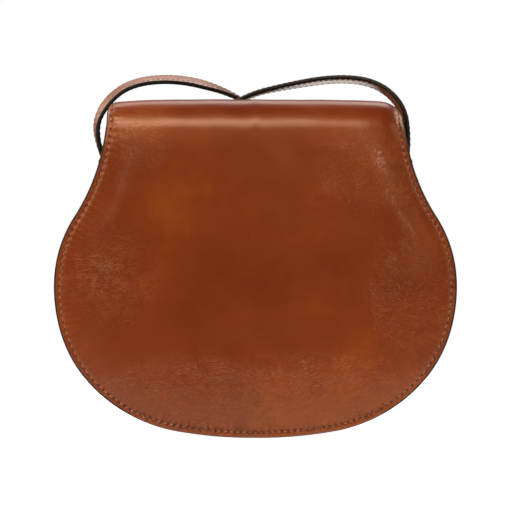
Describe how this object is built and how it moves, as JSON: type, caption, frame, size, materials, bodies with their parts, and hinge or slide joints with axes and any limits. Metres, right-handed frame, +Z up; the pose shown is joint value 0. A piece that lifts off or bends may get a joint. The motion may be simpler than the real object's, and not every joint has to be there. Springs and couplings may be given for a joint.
{
  "type": "saddle shoulder bag",
  "caption": "Small saddle-shaped leather shoulder bag with a fold-over magnetic flap and a thin buckled strap looped behind it.",
  "frame": {"origin": "middle of the base of the bag, on the surface it stands on, half way between its back and front faces", "axes": "+X across the bag to the right seen from its back, +Y from the back panel to the flap, +Z up"},
  "size_m": [0.21, 0.0893, 0.194],
  "materials": {
    "body_leather": "glossy smooth cognac brown, painted edges near black",
    "strap_leather": "glossy cognac brown with near-black painted edges",
    "suede_lining": "matte tan microsuede",
    "stiff_board": "matte",
    "brass_metal": "polished",
    "magnet_metal": "satin"
  },
  "bodies": {
    "bag": {"back_panel": "body_leather", "back_board": "stiff_board", "back_lining": "suede_lining", "front_panel": "body_leather", "front_lining": "suede_lining", "mouth_binding": "body_leather", "gusset": "body_leather", "gusset_board": "stiff_board", "gusset_lining": "suede_lining", "slip_pocket": "suede_lining", "magnet_socket": "magnet_metal", "socket_washer": "magnet_metal", "ring_tab_left": "body_leather", "ring_tab_right": "body_leather", "tab_rivets": "brass_metal", "strap_short": "strap_leather", "strap_long": "strap_leather", "buckle_frame": "brass_metal", "fixed_keeper": "strap_leather"},
    "crown": {"flap_crown": "body_leather", "crown_lining": "suede_lining"},
    "flap": {"flap_front": "body_leather", "flap_lining": "suede_lining", "magnet_plug": "magnet_metal", "plug_washer": "magnet_metal"},
    "ring_left": {"strap_ring_left": "brass_metal"},
    "ring_right": {"strap_ring_right": "brass_metal"},
    "prong": {"buckle_prong": "brass_metal"},
    "keeper": {"loose_keeper": "strap_leather"}
  },
  "joints": [
    {"name": "crown_hinge", "type": "hinge", "parent": "bag", "child": "crown", "pos_m": [0, -0.034, 0.161], "axis": [1, 0, 0], "range_deg": [0, 110], "deforming": ["strap_short", "strap_long"]},
    {"name": "flap_bend", "type": "hinge", "parent": "crown", "child": "flap", "pos_m": [0, 0.0175, 0.16311], "axis": [1, 0, 0], "range_deg": [0, 75], "deforming": ["strap_short", "strap_long"]},
    {"name": "ring_left_swing", "type": "hinge", "parent": "bag", "child": "ring_left", "pos_m": [-0.08359, -0.008, 0.134], "axis": [0, -1, 0], "range_deg": [0, 20], "deforming": ["strap_short"]},
    {"name": "ring_right_swing", "type": "hinge", "parent": "bag", "child": "ring_right", "pos_m": [0.08359, -0.008, 0.134], "axis": [0, 1, 0], "range_deg": [0, 20], "deforming": ["strap_long"]},
    {"name": "prong_turn", "type": "hinge", "parent": "bag", "child": "prong", "pos_m": [-0.03, 0.046, 0.0059], "axis": [0, 1, 0], "range_deg": [0, 100], "deforming": ["strap_long"]},
    {"name": "keeper_slide", "type": "slide", "parent": "bag", "child": "keeper", "axis": [1, 0, 0], "range_m": [-0.008, 0.012]}
  ]
}
